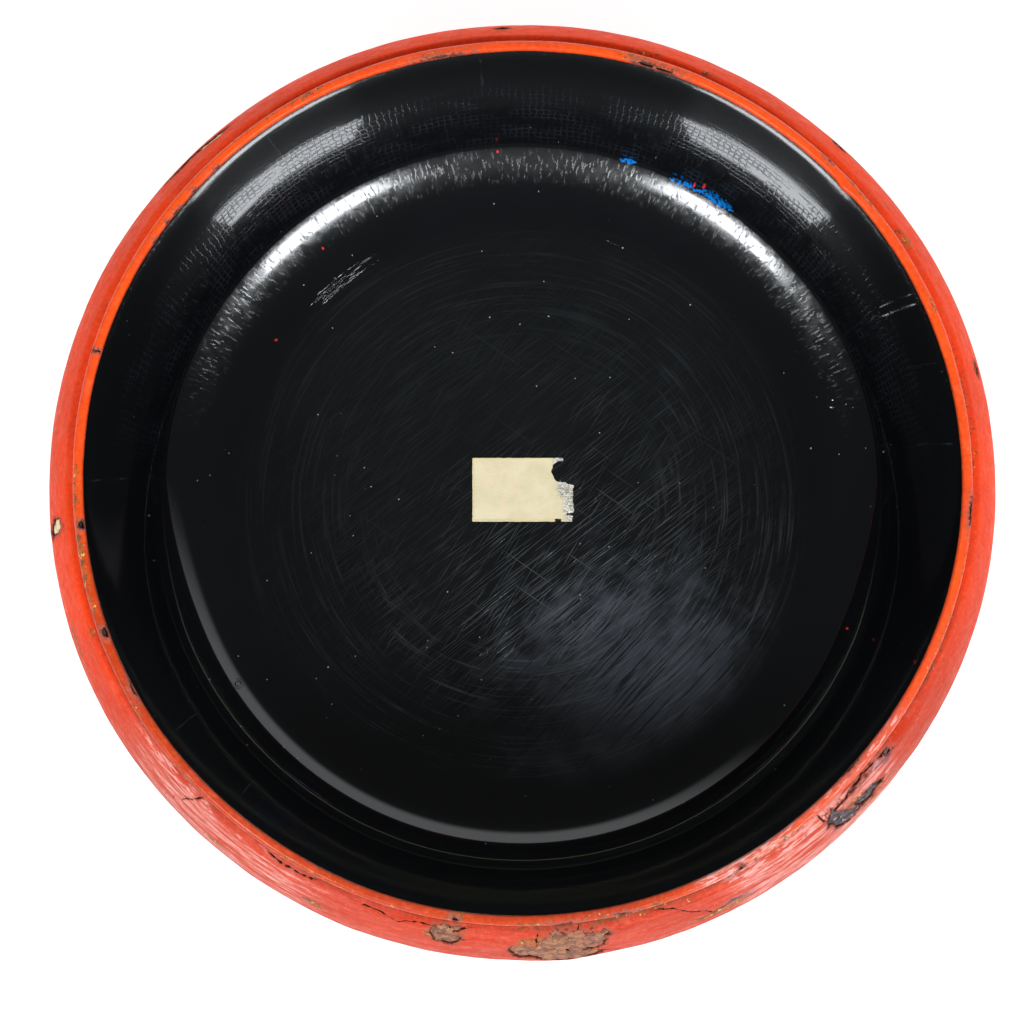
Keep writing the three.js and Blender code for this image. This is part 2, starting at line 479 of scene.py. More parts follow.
def rgb(red, green, blue):
    """A colour given in screen values 0..255, as linear light."""
    linear = [(c / 255 / 12.92) if c <= 10 else ((c / 255 + 0.055) / 1.055) ** 2.4 for c in (red, green, blue)]
    return (*linear, 1.0)


def vermilion(name, clean, deep, pale, wear, rough, specular):
    """Cured red lacquer: brushed round the bowl, rubbed and hazed, brown at its losses and stains. Painted shade
    darkens its near side; a painted sheen, painted highlight patches and painted yellow glints lighten it.
    """
    look = Look(name)
    radius, turn, z = look.polar()
    ringed = look.join(look.sums("MULTIPLY", turn, 9.0), look.sums("MULTIPLY", z, 1.5), radius)
    brush = look.noise(1.0, 4, ringed, (1.0, 2.0, 0.6))
    scuffs = look.noise(1.0, 6, ringed, (0.8, 3.2, 0.8), roughness=0.7)
    cloud = look.noise(9.0, 4)
    color = look.mix(look.ramp(cloud, 0.38, 0.66), clean, deep)
    # painted shade: the near side, which the lamps light most, is darkened
    color = look.mix(look.field("near_painted_shade"), color, rgb(196, 190, 204), "MULTIPLY")
    # painted sheen: a pink veil and pale highlight patches where the lamps' reflection falls, over a real rubbed haze
    haze_and_sheen = look.sums("MULTIPLY", look.field("haze_and_sheen"), look.ramp(scuffs, 0.3, 0.6, 0.2, 1.0))
    color = look.mix(look.sums("MULTIPLY", haze_and_sheen, 0.75), color, rgb(200, 104, 90))
    white = look.sums("MULTIPLY_ADD", look.field("haze_and_sheen"), 0.3, look.noise(1.0, 5, ringed, (3.0, 3.4, 2.2), roughness=0.65))
    color = look.mix(look.ramp(white, 0.78, 0.86, 0, 0.8), color, rgb(226, 172, 164))
    mottle = look.noise(0.7, 6, roughness=0.7)
    color = look.mix(look.ramp(mottle, 0.5, 0.68, 0, 0.3), color, rgb(158, 56, 36))
    color = look.mix(look.ramp(mottle, 0.5, 0.34, 0, 0.22), color, rgb(240, 122, 88))
    rubbed = look.sums("MULTIPLY", look.ramp(look.noise(3.0, 6, stretch=(1, 1, 1.6)), 0.55, 0.7), wear)
    color = look.mix(rubbed, color, pale)
    color = look.mix(look.ramp(brush, 0.55, 0.8, 0, 0.25), color, deep)
    fleck = look.ramp(look.noise(0.5, 3), 0.68, 0.74)
    color = look.mix(look.sums("MULTIPLY", fleck, 0.35), color, rgb(150, 60, 45))

    fine = look.noise(0.6, 5, roughness=0.65)
    smear = look.sums("ADD", look.field("smear"), look.ramp(scuffs, 0.3, 0.7, -1.0, 0.8))
    color = look.mix(look.ramp(smear, -0.5, 0.7, 0, 0.85), color, rgb(132, 96, 104))
    color = look.mix(look.ramp(smear, 0.35, 0.9, 0, 0.85), color, rgb(54, 42, 48))
    stain = look.sums("ADD", look.field("stain"), look.ramp(fine, 0.3, 0.7, -0.7, 0.7))
    brown = look.mix(look.ramp(look.noise(1.2, 4), 0.42, 0.6), rgb(168, 96, 52), rgb(112, 74, 50))
    # painted glints: yellow flecks in the brown stains
    brown = look.mix(look.ramp(look.noise(0.7, 3), 0.6, 0.68), brown, rgb(228, 192, 110))
    color = look.mix(look.ramp(stain, -0.15, 0.35, 0, 0.9), color, brown)

    edge = look.sums("ADD", look.field("lost"), look.ramp(fine, 0.3, 0.7, -0.4, 0.4))
    undercoat = look.ramp(edge, -0.75, -0.3)
    color = look.mix(look.sums("MULTIPLY", undercoat, 0.8), color, rgb(158, 84, 70))
    color = look.mix(look.ramp(edge, -0.18, -0.06), color, rgb(104, 54, 40))
    grime = look.sums("MULTIPLY", look.field("grime"), look.ramp(look.noise(0.8, 5), 0.3, 0.62))
    color = look.mix(grime, color, rgb(120, 66, 46))
    crack = look.sums("ABSOLUTE", look.field("crack"))
    crack = look.sums("ADD", crack, look.ramp(look.noise(0.9, 4), 0.25, 0.75, -0.12, 0.16))
    slit = look.ramp(crack, 0.06, 0.17, 1, 0)
    color = look.mix(look.ramp(crack, 0.1, 0.5, 0.55, 0), color, rgb(150, 74, 56))
    color = look.mix(slit, color, rgb(44, 18, 14))
    roughness = look.ramp(look.noise(2.0, 5), 0.3, 0.7, rough - 0.08, rough + 0.12)
    roughness = look.sums("ADD", roughness, look.sums("MULTIPLY", undercoat, 0.3))
    bumps = look.bump(look.noise(0.35, 3), 0.02)
    bumps = look.bump(brush, 0.03, bumps)
    bumps = look.bump(scuffs, 0.05, bumps)
    bumps = look.bump(look.noise(2.2, 2), 0.05, bumps)
    bumps = look.bump(slit, -0.15, bumps)
    return look.finish(color, roughness, bumps, IOR=1.5, Specular_IOR_Level=specular)


def clay(name):
    """The ground coat where it is exposed: brown clay lumps, charred or cream in places, with pale painted glints on
    the charred lumps.
    """
    look = Look(name)
    lumps = look.noise(1.8, 5, roughness=0.6)
    color = look.mix(look.ramp(lumps, 0.4, 0.58), rgb(112, 64, 46), rgb(160, 108, 76))
    color = look.mix(look.ramp(look.noise(2.6, 3), 0.52, 0.66), color, rgb(158, 96, 78))
    color = look.mix(look.ramp(look.noise(0.5, 4), 0.6, 0.72, 0, 0.7), color, rgb(212, 182, 150))
    burnt_with_glints = look.mix(look.ramp(look.noise(0.9, 5), 0.42, 0.6), rgb(30, 24, 27), rgb(104, 84, 88))
    # painted glints: pale specks on the charred lumps
    burnt_with_glints = look.mix(look.ramp(look.noise(0.8, 3), 0.6, 0.68), burnt_with_glints, rgb(206, 198, 194))
    color = look.mix(look.field("char"), color, burnt_with_glints)
    color = look.mix(look.field("cream"), color, look.mix(lumps, rgb(252, 236, 192), rgb(240, 206, 150)))
    pits = look.ramp(look.cells(1.9, "DISTANCE_TO_EDGE"), 0.0, 0.08, 1, 0)
    color = look.mix(look.sums("MULTIPLY", pits, 0.6), color, rgb(46, 26, 22))
    bumps = look.bump(look.noise(0.7, 6, roughness=0.65), 0.25)
    bumps = look.bump(look.noise(0.18, 3), 0.04, bumps)
    return look.finish(color, look.ramp(lumps, 0.3, 0.7, 0.55, 0.85), bumps, Specular_IOR_Level=0.3)


# Small marks on the black lacquer, (x, y) in mm from the middle of the floor
RED_SPECKS = [(-4, 59), (28.9, 53.1), (30.4, 52.6), (-33.3, 43), (-41.2, 27.6), (53.9, -20.9)]
BLISTERS = [(52.0, 16.9), (35.6, 31.4), (45.9, 25.2), (-47.0, -30.0), (-12.0, 24.0), (20.5, -38.0)]
BLUE_SMEARS = [((16.4, 57.6), (19.2, 57.0)), ((24.8, 54.4), (29.8, 52.2)), ((29.6, 52.4), (35.4, 48.8))]


def black_lacquer(name):
    """Polished black lacquer: cloth telegraphs through the wall, the floor is scratched by stones. A pale painted sheen
    lies on the floor's near right, its scratches are painted partly as sheen, and the near wall is painted a lighter
    grey.
    """
    look = Look(name)
    radius, turn, z = look.polar()
    x, y, _ = look.split()
    flat = look.join(x, y, 0.0)
    floor = look.ramp(radius, FLOOR_RADIUS - 4, FLOOR_RADIUS + 2, 1, 0)
    wall = look.ramp(z, FLOOR_Z + 2, FLOOR_Z + 8)
    high = look.ramp(z, HEIGHT - 26, HEIGHT - 20)
    far = look.ramp(y, -5, 30)
    unit = look.split(look.join(look.sums("DIVIDE", x, radius), look.sums("DIVIDE", y, radius), 0.0))

    # turning marks: noise drawn out along circles
    ringed = look.join(look.sums("MULTIPLY", radius, 2.2), unit[0], unit[1])
    marks = look.noise(1.0, 5, ringed, (1.0, 2.5, 2.5), roughness=0.65)
    fine_rings = look.noise(1.0, 4, look.join(look.sums("MULTIPLY", z, 3.5), unit[0], unit[1]), (1, 3, 3))

    # straight scratches, from lower left to upper right, and a few the other way
    def scratches(slope, size, low_end, high_end):
        way = (math.cos(slope), math.sin(slope))
        along = look.sums("ADD", look.sums("MULTIPLY", x, way[0]), look.sums("MULTIPLY", y, way[1]))
        across = look.sums("SUBTRACT", look.sums("MULTIPLY", y, way[0]), look.sums("MULTIPLY", x, way[1]))
        drawn = look.join(look.sums("MULTIPLY", along, 0.02), across, 0.0)
        return look.ramp(look.noise(size, 2, drawn, roughness=0.55), low_end, high_end)

    straight = scratches(math.radians(38), 0.22, 0.52, 0.64)
    steeper = scratches(math.radians(58), 0.26, 0.58, 0.68)
    crossing = scratches(math.radians(-35), 0.6, 0.64, 0.72)
    scored_dark = scratches(math.radians(47), 0.34, 0.56, 0.62)
    ring_lines = look.ramp(marks, 0.5, 0.66)
    lines = look.sums("MAXIMUM", look.sums("MAXIMUM", straight, steeper), crossing)
    centre_zone = look.ramp(radius, 20, 44, 1, 0.25)
    lines = look.sums("MULTIPLY", lines, centre_zone)
    lines = look.sums("MAXIMUM", lines, look.sums("MULTIPLY", ring_lines, look.ramp(radius, 14, 34)))

    # the near right of the floor is rubbed most, and a pale painted sheen is laid over it
    off_x, off_y = look.sums("SUBTRACT", x, 20.0), look.sums("SUBTRACT", y, -33.0)
    away = look.sums("SQRT", look.sums("ADD", look.sums("MULTIPLY", off_x, off_x), look.sums("MULTIPLY", off_y, off_y)))
    rubbed = look.ramp(look.sums("ADD", away, look.ramp(look.noise(9.0, 4), 0.3, 0.7, -10, 10)), 14, 62, 1, 0)
    floor_sheen = look.ramp(look.sums("ADD", away, look.ramp(look.noise(5.0, 5), 0.3, 0.7, -6, 6)), -2, 30, 1, 0)
    worn = look.sums("MULTIPLY", floor, look.sums("MULTIPLY_ADD", rubbed, 0.8, 0.2))
    scored = look.sums("MULTIPLY", worn, lines)

    floor_black = look.mix(look.noise(12.0, 3), rgb(9, 11, 12), rgb(17, 19, 20))
    color = look.mix(floor, look.mix(look.noise(8.0, 3), rgb(8, 9, 11), rgb(14, 15, 18)), floor_black)
    # painted sheen: pale grey laid on the near right of the floor
    color = look.mix(look.sums("MULTIPLY", look.sums("MULTIPLY", floor_sheen, floor), 0.85), color, rgb(88, 92, 100))
    # pale scratch lines: real scratches, their grey also painted in as sheen
    color = look.mix(look.sums("MULTIPLY", scored, look.ramp(radius, 14, 34, 0.1, 0.24)), color, rgb(104, 110, 116))
    cuts = look.sums("MULTIPLY", scored_dark, look.sums("MULTIPLY", rubbed, floor))
    color = look.mix(look.sums("MULTIPLY", cuts, 0.8), color, rgb(8, 9, 11))
    # painted light: the near wall is painted a lighter grey than the rest of the wall
    near_wall_painted_light = look.sums("MULTIPLY", look.ramp(z, 12.5, 14.5), look.ramp(y, -15, -50))
    color = look.mix(look.sums("MULTIPLY", near_wall_painted_light, 0.9), color, rgb(27, 29, 30))
    dots = look.sums("SUBTRACT", look.cells(3.4, vector=flat), look.ramp(look.noise(7.0), 0.45, 0.7, 0, 0.025))
    specks = look.sums("MULTIPLY", look.ramp(dots, 0.018, 0.045, 1, 0), look.ramp(z, 14, 22, 1, 0))
    lint = look.ramp(look.cells(4.6), 0.016, 0.032, 1, 0)
    specks = look.sums("MAXIMUM", specks, lint)
    color = look.mix(look.sums("MULTIPLY", specks, 0.7), color, rgb(176, 184, 188))

    # plain weave under the wall's lacquer
    wavy = look.ramp(look.noise(3.0, 4), 0.2, 0.8, -1.6, 1.6)
    weft = look.sums("SINE", look.sums("MULTIPLY_ADD", turn, 370.0, wavy))
    warp = look.sums("SINE", look.sums("MULTIPLY_ADD", z, 3.1, wavy))
    weave = look.sums("MAXIMUM", look.ramp(weft, 0.55, 1.0), look.ramp(warp, 0.55, 1.0))
    patches = look.ramp(look.noise(7.0, 6), 0.4, 0.62)
    low_wall = look.sums("MULTIPLY", wall, look.ramp(high, 0, 1, 1, 0.05))
    cloth = look.sums("MULTIPLY", look.sums("MULTIPLY", weave, low_wall), look.sums("MULTIPLY", patches, far))
    strokes = look.noise(1.0, 4, look.join(look.sums("MULTIPLY", turn, 120.0), look.sums("MULTIPLY", radius, 0.6), 0.0))

    def distance_to(place):
        gap = look.tree.nodes.new("ShaderNodeVectorMath")
        gap.operation = "DISTANCE"
        look.put(gap.inputs[0], flat)
        gap.inputs[1].default_value = (*place, 0)
        return gap.outputs["Value"]

    red = 9.0
    for place in RED_SPECKS:
        red = look.sums("MINIMUM", distance_to(place), red)
    red = look.ramp(look.sums("ADD", red, look.ramp(look.noise(0.5), 0, 1, -0.12, 0.12)), 0.16, 0.27, 1, 0)
    color = look.mix(look.sums("MULTIPLY", cloth, 0.6), color, rgb(44, 47, 53))
    color = look.mix(red, color, rgb(226, 50, 34))
    blue = 9.0
    for start, end in BLUE_SMEARS:
        span = look.sums("ADD", distance_to(start), distance_to(end))
        excess = look.sums("SUBTRACT", span, math.dist(start, end))
        blue = look.sums("MINIMUM", excess, blue)
    dry = look.ramp(look.noise(0.5, 4), 0.3, 0.7, -0.05, 0.14)
    blue = look.ramp(look.sums("ADD", blue, dry), 0.05, 0.12, 1, 0)
    color = look.mix(blue, color, rgb(0, 118, 205))
    ring = 9.0
    for place in BLISTERS:
        ring = look.sums("MINIMUM", look.sums("ABSOLUTE", look.sums("SUBTRACT", distance_to(place), 0.62)), ring)
    ring = look.ramp(ring, 0.08, 0.3, 1, 0)

    roughness = look.ramp(look.noise(5.0, 5), 0.3, 0.7, 0.025, 0.05)
    corner = look.sums("MULTIPLY", look.ramp(radius, FLOOR_RADIUS + 5.5, FLOOR_RADIUS + 7.5), look.ramp(z, 13, 20, 1, 0))
    corner = look.sums("MULTIPLY", corner, far)
    strokes = look.sums("MULTIPLY", corner, look.ramp(strokes, 0.53, 0.68))
    strokes = look.sums("MULTIPLY", strokes, look.ramp(radius, FLOOR_RADIUS + 11, FLOOR_RADIUS + 13, 1, 0))
    roughness = look.sums("MULTIPLY_ADD", corner, look.ramp(look.noise(2.0, 5), 0.35, 0.65, 0.05, 0.14), roughness)
    roughness = look.sums("MULTIPLY_ADD", strokes, 0.22, roughness)
    roughness = look.sums("MULTIPLY_ADD", cloth, 0.14, roughness)
    roughness = look.sums("MULTIPLY_ADD", look.sums("MULTIPLY", floor, look.ramp(look.noise(14.0, 4), 0.35, 0.65)), 0.1, roughness)
    roughness = look.sums("MULTIPLY_ADD", scored, 0.5, roughness)
    bumps = look.bump(look.sums("MULTIPLY", marks, floor), 0.012)
    bumps = look.bump(strokes, 0.008, bumps)
    bumps = look.bump(look.sums("MULTIPLY", fine_rings, look.ramp(z, 16, 26)), 0.002, bumps)
    # a few deeper turning marks, left of the middle towards the far side
    left_far = look.ramp(look.sums("ABSOLUTE", look.sums("SUBTRACT", turn, math.radians(129))), 0.06, 0.24, 1, 0)
    ridge = look.ramp(look.sums("ABSOLUTE", look.sums("SUBTRACT", radius, 48.2)), 0.8, 2.4, 1, 0)
    window = look.sums("MULTIPLY", left_far, ridge)
    streaks = look.noise(1.2, 3, ringed, (1, 1.6, 1.6))
    ridge = look.ramp(look.sums("MULTIPLY_ADD", window, 0.3, streaks), 0.78, 0.92)
    bumps = look.bump(ridge, 0.16, bumps)
    bumps = look.bump(cloth, -0.03, bumps)
    bumps = look.bump(scored, -0.008, bumps)
    bumps = look.bump(ring, 0.03, bumps)
    return look.finish(color, roughness, bumps, IOR=1.55, Coat_Weight=0.13, Coat_Roughness=0.24)


def wood(name, dark, light, rough=0.6):
    """Close-grained turned wood with growth rings."""
    look = Look(name)
    x, y, z = look.split()
    bent = look.join(look.sums("ADD", x, 30.0), y, look.sums("MULTIPLY", z, 0.08))
    rings = look.noise(2.2, 3, bent, distortion=0.6)
    pores = look.noise(0.35, 2, stretch=(1, 1, 0.12))
    color = look.mix(look.ramp(rings, 0.35, 0.65), dark, light)
    color = look.mix(look.ramp(pores, 0.6, 0.72, 0, 0.6), color, rgb(46, 28, 18))
    bumps = look.bump(pores, 0.04)
    return look.finish(color, look.ramp(rings, 0.3, 0.7, rough - 0.08, rough + 0.12), bumps)


def foot_lacquer(name):
    """Thin dark lacquer on the foot, rubbed to the wood on its edges."""
    look = Look(name)
    _, _, z = look.split()
    rubbed = look.sums("ADD", look.ramp(z, 0.0, 1.1, 0.5, 0.0), look.ramp(look.noise(2.5, 5), 0.35, 0.7, -0.2, 0.5))
    bare = look.ramp(rubbed, 0.35, 0.5)
    color = look.mix(bare, rgb(28, 22, 20), rgb(124, 86, 56))
    color = look.mix(look.ramp(look.noise(0.6, 4), 0.58, 0.7, 0, 0.5), color, rgb(52, 34, 24))
    return look.finish(color, look.ramp(bare, 0, 1, 0.3, 0.65), look.bump(look.noise(0.8, 5), 0.05))


def underside(name):
    """Black lacquer inside the foot, matt and rubbed brown."""
    look = Look(name)
    radius, _, _ = look.polar()
    rubbed = look.ramp(look.noise(7.0, 6, roughness=0.62), 0.5, 0.7)
    rings = look.noise(1.0, 3, look.join(look.sums("MULTIPLY", radius, 1.6), 0.0, 0.0))
    color = look.mix(rubbed, rgb(20, 19, 20), rgb(58, 38, 28))
    color = look.mix(look.ramp(look.noise(0.7, 4), 0.66, 0.72, 0, 0.6), color, rgb(120, 112, 100))
    bumps = look.bump(rings, 0.03, look.bump(look.noise(1.2, 5), 0.05))
    return look.finish(color, look.ramp(rubbed, 0, 1, 0.28, 0.55), bumps, IOR=1.5)


def hemp(name):
    """Plain woven hemp."""
    look = Look(name)
    radius, turn, z = look.polar()
    weft = look.sums("SINE", look.sums("MULTIPLY", turn, 400.0))
    warp = look.sums("SINE", look.sums("MULTIPLY", look.sums("ADD", z, radius), 6.0))
    weave = look.sums("MULTIPLY", weft, warp)
    color = look.mix(look.ramp(weave, -0.6, 0.6), rgb(122, 106, 78), rgb(176, 160, 126))
    color = look.mix(look.ramp(look.noise(2.0, 5), 0.5, 0.7, 0, 0.6), color, rgb(92, 74, 52))
    return look.finish(color, look.ramp(weave, -1, 1, 0.8, 0.95), look.bump(look.ramp(weave, -1, 1), 0.15))


def paper(name):
    """Old cream paper, skinned to its white fibres at the torn end."""
    look = Look(name)
    x, y, _ = look.split()
    color = look.mix(look.ramp(look.noise(3.5, 4), 0.35, 0.65), rgb(220, 205, 166), rgb(228, 214, 178))
    rim = look.field("rim")
    color = look.mix(look.ramp(rim, -0.55, -0.1, 0, 0.8), color, rgb(216, 203, 150))
    skinned = look.field("skinned")
    fibres = look.noise(0.5, 5, stretch=(1.0, 1.8, 1.0), distortion=1.5)
    color = look.mix(skinned, color, look.mix(look.ramp(fibres, 0.4, 0.62), rgb(120, 116, 108), rgb(232, 228, 214)))
    stain = look.ramp(look.noise(2.4, 3), 0.55, 0.7, 0, 0.35)
    color = look.mix(stain, color, rgb(240, 206, 176))
    bumps = look.bump(look.noise(0.4, 5), 0.03)
    bumps = look.bump(fibres, 0.04, bumps)
    return look.finish(color, look.ramp(fibres, 0.3, 0.7, 0.75, 0.95), bumps)


LOOKS = {
    "body_vermilion": vermilion(
        "body_vermilion", rgb(240, 70, 30), rgb(228, 68, 36), rgb(226, 104, 74), 0.3, 0.42, 0.012
    ),
    "lip_vermilion": vermilion(
        "lip_vermilion", rgb(238, 80, 22), rgb(230, 74, 28), rgb(236, 108, 66), 0.25, 0.22, 0.16
    ),
    "clay_ground": clay("clay_ground"),
    "black_lacquer": black_lacquer("black_lacquer"),
    "underside": underside("underside_black"),
    "foot_wood": foot_lacquer("foot_wood"),
    "core_wood": wood("core_wood", rgb(96, 62, 36), rgb(146, 102, 64)),
    "lip_wood": wood("lip_wood", rgb(34, 22, 16), rgb(72, 46, 30), 0.7),
    "hemp_cloth": hemp("hemp_cloth"),
    "label_paper": paper("label_paper"),
}

# ---------------------------------------------------------------- wear of the outside, with painted shade and painted sheen


def spots(p, across, marks):
    """About the distance in mm into the nearest mark: 0 at its outline, above 0 inside.
    A mark is (angle, across, half length, half width, slant), the angle in degrees
    anticlockwise from +X, the rest in mm."""
    degrees = np.degrees(np.arctan2(p[..., 1], p[..., 0]))
    radius = np.hypot(p[..., 0], p[..., 1])
    field = np.full(degrees.shape, -9.0)
    for angle, place, half_length, half_width, slant in marks:
        along = np.radians(turn_between(degrees, angle)) * radius
        over = across - place - slant * along
        reach = np.sqrt((along / half_length) ** 2 + (over / half_width) ** 2)
        field = np.maximum(field, (1 - reach) * min(half_length, half_width))
    return field


def ragged(p, field, jag, seed):
    rough = noise(p, 2.0, seed, 3) * jag + noise(p, 0.7, seed + 5, 2) * jag * 0.6
    return np.clip(field + rough, -4, 4)


def crack_field(p, across, lines):
    """Signed distance in mm to the nearest crack; each is a run of (angle, across)."""
    degrees = np.degrees(np.arctan2(p[..., 1], p[..., 0]))
    bend = 0.25 * noise(p, 1.3, 71, 2)
    best = np.full(degrees.shape, 9.0)
    for line in lines:
        for (a0, z0), (a1, z1) in zip(line, line[1:]):
            along = np.radians(turn_between(degrees, (a0 + a1) / 2)) * 71 + bend
            half = math.radians(a1 - a0) / 2 * 71
            way = np.array([2 * half, z1 - z0])
            up = across - z0 + bend
            t = np.clip(((along + half) * way[0] + up * way[1]) / (way @ way), 0, 1)
            dx, dz = along + half - t * way[0], up - t * way[1]
            side = np.where(way[0] * dz - way[1] * dx < 0, -1, 1)
            distance = np.hypot(dx, dz)
            best = np.where(distance < np.abs(best), distance * side, best)
    return np.clip(best, -3, 3)


# Places on the outside are (angle, mm down the section from the lip's edge)
BODY_LOSSES = [
    (-37.0, 1.5, 1.0, 0.85, 0.0), (-47.2, 4.8, 1.5, 3.0, 0.25), (-43.6, 8.6, 3.0, 0.6, 0.1),
    (-44.0, 1.1, 2.8, 0.2, -0.12), (-46.0, 7.8, 2.4, 2.4, 0.3), (-42.2, 7.0, 3.0, 1.8, 0.2),
    (-81.6, 5.0, 2.3, 3.9, 0.0), (-85.5, 4.8, 3.2, 4.0, 0.0), (-83.4, 6.4, 2.0, 3.2, 0.0),
    (-83.4, 2.5, 2.7, 1.5, 0.0), (-80.4, 3.0, 1.2, 1.5, 0.0),
    (-89.6, 8.6, 2.3, 3.9, 0.1), (-87.4, 7.6, 2.0, 2.6, 0.0), (-84.5, 12.0, 5.0, 3.4, 0.1), (-99.4, 4.2, 2.4, 3.1, 0.1),
    (-98.2, 1.6, 0.9, 1.0, 0.0), (-174.4, 9.0, 1.1, 4.2, 0.0), (-228.4, 7.6, 3.0, 1.7, 0.25),
    (-225.2, 8.6, 2.0, 1.2, 0.1), (-222.3, 8.2, 1.6, 0.7, 0.3), (-267.6, 6.6, 0.8, 1.2, 0.0),
    (-345.7, 8.8, 1.1, 1.3, 0.0), (-313.0, 8.8, 0.8, 1.2, 0.0),
]
BODY_STAINS = [
    (-160.3, 1.1, 1.0, 0.6, 0.0), (-286.0, 0.9, 1.8, 0.6, 0.0), (-294.5, 1.2, 1.4, 0.7, 0.0),
    (-327.4, 1.4, 1.5, 0.8, 0.0), (-322.8, 3.6, 0.35, 0.5, 0.0), (-79.5, 0.3, 7.0, 0.3, 0.0),
    (-86.0, 6.5, 6.0, 5.5, 0.0), (-99.6, 3.6, 3.0, 3.2, 0.0), (-65.0, 11.0, 5.0, 1.8, 0.0),
    (-159.5, 11.0, 4.5, 1.2, 0.0), (-24.8, 0.2, 2.8, 0.25, 0.0), (-350.0, 0.2, 4.5, 0.2, 0.0),
    (-44.2, 4.6, 3.0, 1.4, 0.2), (-43.0, 11.0, 3.5, 1.2, 0.0),
    (-116.0, 9.0, 2.0, 1.5, 0.0), (-130.0, 11.0, 2.0, 1.2, 0.0),
]
BODY_SMEARS = [
    (-44.6, 7.6, 4.4, 2.4, 0.0), (-47.6, 4.0, 2.0, 2.4, 0.0), (-41.0, 1.4, 3.2, 0.7, 0.0),
    (-63.0, 8.5, 2.4, 1.0, 0.0), (-37.4, 2.2, 1.5, 1.2, 0.0),
]
BODY_CRACKS = [
    [(-38.0, 0.9), (-40.5, 0.5), (-43.0, 0.7), (-45.2, 1.2), (-46.8, 1.5), (-48.3, 2.0), (-48.0, 6.0)],
    [(-49.2, 0.3), (-48.9, 1.8), (-48.4, 4.0)],
    [(-78.6, 14.5), (-80.2, 11.5), (-82.6, 8.8), (-84.6, 8.0), (-87.0, 7.0), (-88.2, 4.5), (-88.0, 1.5)],
    [(-83.3, 7.5), (-83.6, 3.5), (-83.0, 1.0)],
    [(-97.0, 0.9), (-98.3, 1.2), (-100.0, 0.9), (-101.6, 1.5), (-103.4, 1.2), (-105.4, 3.0), (-107.7, 1.2), (-110.0, 1.0)],
    [(-64.4, 9.4), (-66.2, 10.5), (-67.0, 7.5), (-68.9, 5.0), (-70.8, 1.2), (-72.4, 0.7)],
    [(-116.8, 0.4), (-119.3, 0.9), (-122.3, 0.8), (-123.8, 0.5)],
    [(-134.7, 0.6), (-136.1, 4.2)],
]

OUTSIDE_ANGLES = around(0.3, 1.1, [(-112, -34)])
outside = outside_curve(lambda r, z: 0.4 - 0.15 * smooth(60, 62.5, z) + 1.3 * smooth(48, 40, z))
down = np.r_[0, np.cumsum(np.hypot(*np.diff(outside, axis=0).T))]
down = np.repeat(down[:, None], len(OUTSIDE_ANGLES), 1)


def outside_field(p, marks, jag, seed):
    return ragged(p, spots(p, down, marks), jag, seed)


body = revolve(outside, OUTSIDE_ANGLES)
body_normal = outward(body)
if (body_normal[10, 0] * body[10, 0])[:2].sum() < 0:
    body_normal = -body_normal
image_turn = np.degrees(np.arctan2(body[..., 1], body[..., 0]))
lost = outside_field(body, BODY_LOSSES, 0.8, 3)
crack = crack_field(body, down, BODY_CRACKS)
stain = outside_field(body, BODY_STAINS, 0.7, 13)
smear = outside_field(body, BODY_SMEARS, 1.1, 17)
# the near side, towards the lamps, gets painted shade and part of the painted sheen
near_side = smooth(82, 50, np.abs(turn_between(image_turn, -85)))
streaks = noise(np.stack([np.radians(image_turn) * 11, body[..., 2] * 1.6, body[..., 2] * 0], -1), 1.0, 19, 4)
blotches = smooth(-0.35, 0.5, streaks + 0.25)
# painted sheen on the near shoulder where the lamps' reflection falls; the near side's pale haze is partly real rubbing
painted_sheen = np.maximum(smooth(17, 9, np.abs(turn_between(image_turn, -50))), 0.9 * smooth(20, 10, np.abs(turn_between(image_turn, -131))))
painted_sheen = np.maximum(painted_sheen, smooth(17, 12, np.abs(turn_between(image_turn, -134))) * np.exp(-(((down - 0.9) / 0.5) ** 2)))
haze_and_sheen = (near_side * blotches * 0.5 + painted_sheen * (0.26 + 0.4 * blotches)) * smooth(24, 42, body[..., 2])
lifted = 0.1 * np.exp(-np.abs(lost + 0.35) / 0.4) * (lost < 0)
groove = -0.15 * np.exp(-((crack / 0.3) ** 2))
uneven = 0.07 * noise(body, 6.0, 2, 2) + 0.03 * noise(body, 1.6, 4, 2) + 0.05 * near_side * noise(body, 3.0, 22, 2)
bulge = 0.55 * np.exp(-(turn_between(image_turn, -85) / 6.0) ** 2) * smooth(40, 52, body[..., 2])
grime = np.exp(-((down / 0.5) ** 2)) * near_side * (0.35 + 0.65 * smooth(-0.1, 0.5, noise(body, 9, 8)))
body_worn = body + body_normal * (lifted + groove + uneven + bulge)[..., None]
turned_skin(
    "body_coat", handmade(body_worn), LOOKS["body_vermilion"], ["body_lacquer"], LACQUER,
    {"lost": lost, "crack": crack, "grime": grime, "stain": stain, "smear": smear, "haze_and_sheen": haze_and_sheen, "near_painted_shade": near_side}, lost,
)

# The ground coat under it, lumpy where it lies bare
ground = revolve(offset(outside, LACQUER + GAP), OUTSIDE_ANGLES)
bare = smooth(-0.2, 0.5, outside_field(ground, BODY_LOSSES, 0.8, 3))
lumps = 0.5 * np.abs(noise(ground, 2.4, 21, 3)) + 0.25 * noise(ground, 0.8, 23, 2) - 0.1
char = smooth(9, 6, np.abs(turn_between(image_turn, -42.5)))
cream = smooth(38, 33, np.abs(turn_between(image_turn, -204)))
ground_worn = ground + body_normal * (bare * (lumps + 0.24) + bulge + uneven)[..., None]
turned_skin(
    "clay_coat", handmade(ground_worn), LOOKS["clay_ground"], ["outer_ground"], GROUND,
    {"char": char, "cream": cream, "bare": bare},
)

# ---------------------------------------------------------------- the lip

